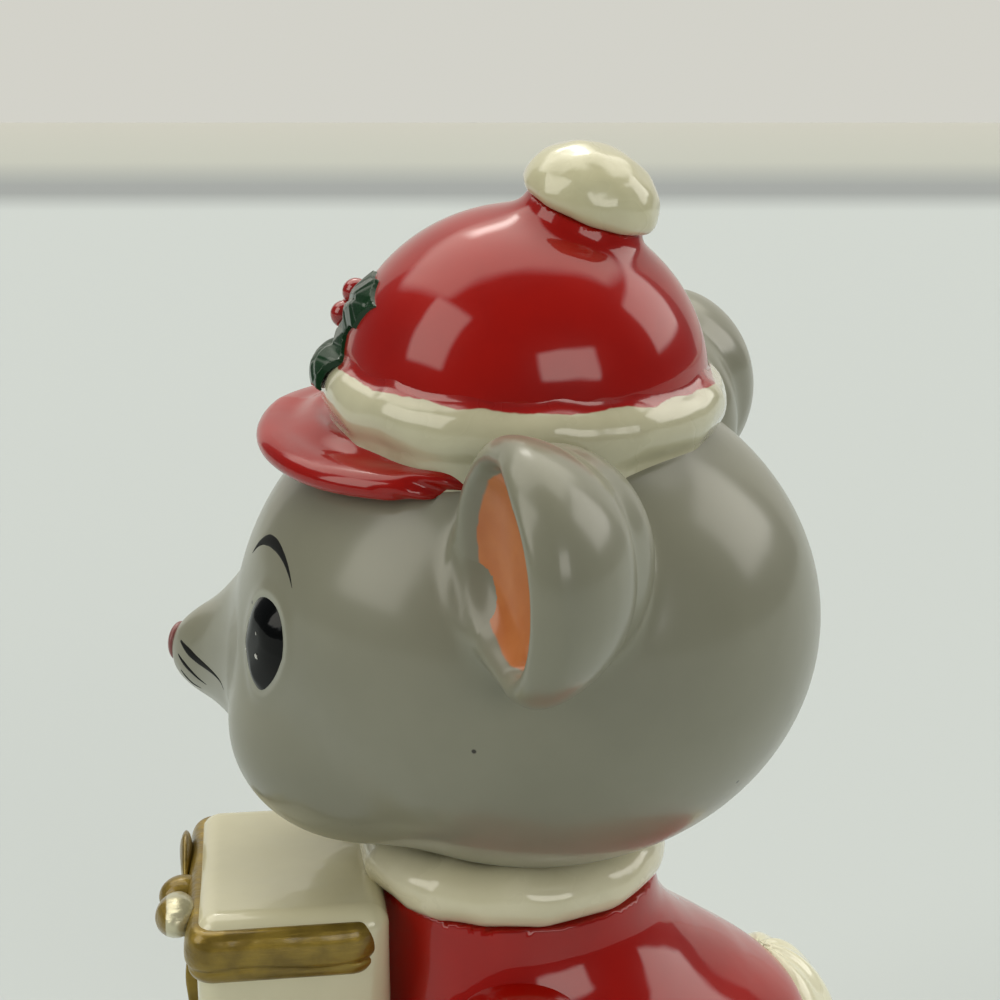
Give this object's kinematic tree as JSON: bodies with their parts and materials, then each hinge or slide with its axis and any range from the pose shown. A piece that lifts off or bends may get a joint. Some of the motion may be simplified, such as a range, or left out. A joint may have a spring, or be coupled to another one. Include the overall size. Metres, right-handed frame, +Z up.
{
  "type": "mouse figurine",
  "caption": "Standing glazed ceramic mouse in a peaked fur-banded cap and fur-trimmed coat, holding a ribboned gift box, with a bag on its back.",
  "frame": {"origin": "on the ground plane under the centre of the neck, at the level of the flat base", "axes": "+Z up; -Y is the way the body faces; +X is the mouse's left"},
  "size_m": [0.0853, 0.0878, 0.1457],
  "materials": {
    "grey_glaze": "gloss",
    "red_glaze": "gloss",
    "fur_white_glaze": "gloss",
    "pompom_white_glaze": "gloss",
    "black_glaze": "gloss",
    "nose_pink": "satin",
    "holly_green": "gloss",
    "berry_red": "gloss",
    "gift_white_glaze": "gloss",
    "gold_lustre": "satin",
    "sack_cream_glaze": "gloss"
  },
  "bodies": {
    "root": {"head": "grey_glaze", "nose": "nose_pink", "eye_left": "black_glaze", "eye_right": "black_glaze", "ear_left": "grey_glaze", "ear_right": "grey_glaze", "hat_crown": "red_glaze", "hat_band": "fur_white_glaze", "hat_peak": "red_glaze", "pompom": "pompom_white_glaze", "holly_leaf_1": "holly_green", "holly_leaf_2": "holly_green", "holly_leaf_3": "holly_green", "holly_berry_1": "berry_red", "holly_berry_2": "berry_red", "holly_berry_3": "berry_red", "coat": "red_glaze", "collar": "fur_white_glaze", "coat_hem": "fur_white_glaze", "foot_left": "grey_glaze", "foot_right": "grey_glaze", "tail": "grey_glaze", "gift_box": "gift_white_glaze", "ribbon": "gold_lustre", "bow_knot": "gold_lustre", "bow_loop_left": "gold_lustre", "bow_loop_right": "gold_lustre", "bow_tail_left": "gold_lustre", "bow_tail_right": "gold_lustre", "cuff_left": "fur_white_glaze", "cuff_right": "fur_white_glaze", "sleeve_left": "red_glaze", "sleeve_right": "red_glaze", "paw_left": "grey_glaze", "paw_right": "grey_glaze", "sack": "sack_cream_glaze", "sack_neck": "sack_cream_glaze"}
  },
  "joints": []
}
